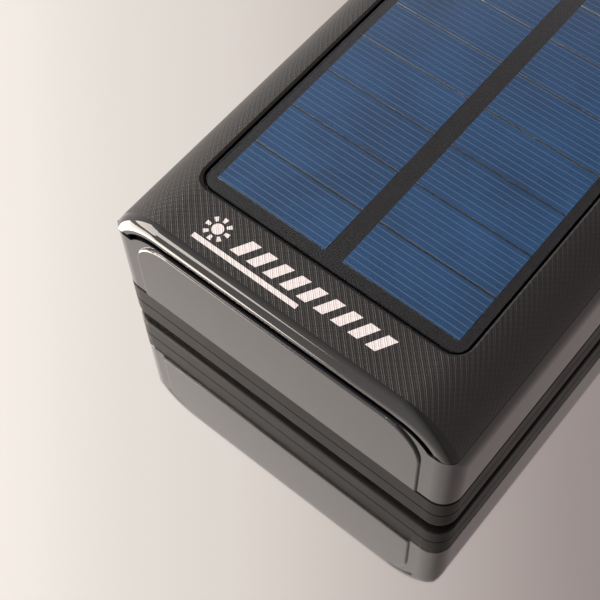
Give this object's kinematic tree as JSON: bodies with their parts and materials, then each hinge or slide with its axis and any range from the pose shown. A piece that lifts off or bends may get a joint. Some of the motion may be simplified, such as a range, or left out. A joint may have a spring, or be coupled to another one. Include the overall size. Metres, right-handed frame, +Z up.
{
  "type": "solar phone charger",
  "caption": "Slab-shaped solar power bank with a two-column solar panel in an arched textured cover, USB sockets and a push button at one end, and rubber feet.",
  "frame": {"origin": "centre of the footprint, on the surface the rubber feet rest on", "axes": "+X across the case, +Y along the case towards the socket end, +Z up out of the solar panel"},
  "size_m": [0.078, 0.162, 0.0384],
  "materials": {
    "cover_gloss": "gloss black, plain rounded bead at the ends",
    "cover_textured": "black film with a fine cross-hatched grain",
    "adhesive_tape": "white double-sided tape",
    "panel_backing": "dark grey board",
    "solar_cell": "dark blue silicon with fine pale lines",
    "clear_film": "clear laminate",
    "wire_insulation": "red and black insulated wire",
    "housing_gloss": "gloss dark grey, mirror-like",
    "bottom_satin": "satin charcoal",
    "foot_rubber": "matt black rubber",
    "steel": "plated steel",
    "pouch_foil": "silver laminated foil",
    "foam": "soft dark foam",
    "nickel_strip": "nickel strip",
    "circuit_board": "green solder resist",
    "insulating_sheet": "thin fibre sheet",
    "chip_black": "moulded black package",
    "capacitor_can": "bare can",
    "socket_plastic": "black moulded contact carrier",
    "bezel_satin": "satin black",
    "flex_cable": "amber flexible circuit",
    "led_white": "white package",
    "light_guide": "frosted clear plastic",
    "clear_lens": "clear moulded lens",
    "button_gloss": "gloss black",
    "switch_plastic": "black moulded plastic"
  },
  "bodies": {
    "housing": {"top_cover": "cover_gloss", "texture_skin": "cover_textured", "panel_tape": "adhesive_tape", "panel_board": "panel_backing", "solar_cells_left": "solar_cell", "solar_cells_right": "solar_cell", "panel_film": "clear_film", "panel_leads": "wire_insulation", "main_housing": "housing_gloss", "bottom_cover": "bottom_satin", "rubber_feet": "foot_rubber", "bottom_screws": "steel", "battery_cell_lower": "pouch_foil", "battery_cell_middle": "pouch_foil", "battery_cell_upper": "pouch_foil", "cell_tapes": "adhesive_tape", "cell_foam": "foam", "cell_tabs": "nickel_strip", "protection_board": "circuit_board", "insulating_sheet": "insulating_sheet", "battery_leads": "wire_insulation", "main_board": "circuit_board", "board_screws": "steel", "power_inductors": "chip_black", "control_chips": "chip_black", "board_capacitors": "capacitor_can", "usb_a_shells": "steel", "usb_a_tongues": "socket_plastic", "usb_c_shell": "steel", "usb_c_tongue": "socket_plastic", "micro_usb_shell": "steel", "micro_usb_tongue": "socket_plastic", "port_bezel": "bezel_satin", "indicator_board": "circuit_board", "indicator_cable": "flex_cable", "indicator_leds": "led_white", "light_guide": "light_guide", "torch_led": "led_white", "torch_lens": "clear_lens", "switch_body": "switch_plastic"},
    "button": {"power_button": "button_gloss", "switch_plunger": "switch_plastic"}
  },
  "joints": [
    {"name": "button_press", "type": "slide", "parent": "housing", "child": "button", "axis": [0, -1, 0], "range_m": [0, 0.0005], "stiffness_N_per_m": 2000, "springref_m": -0.0003}
  ]
}
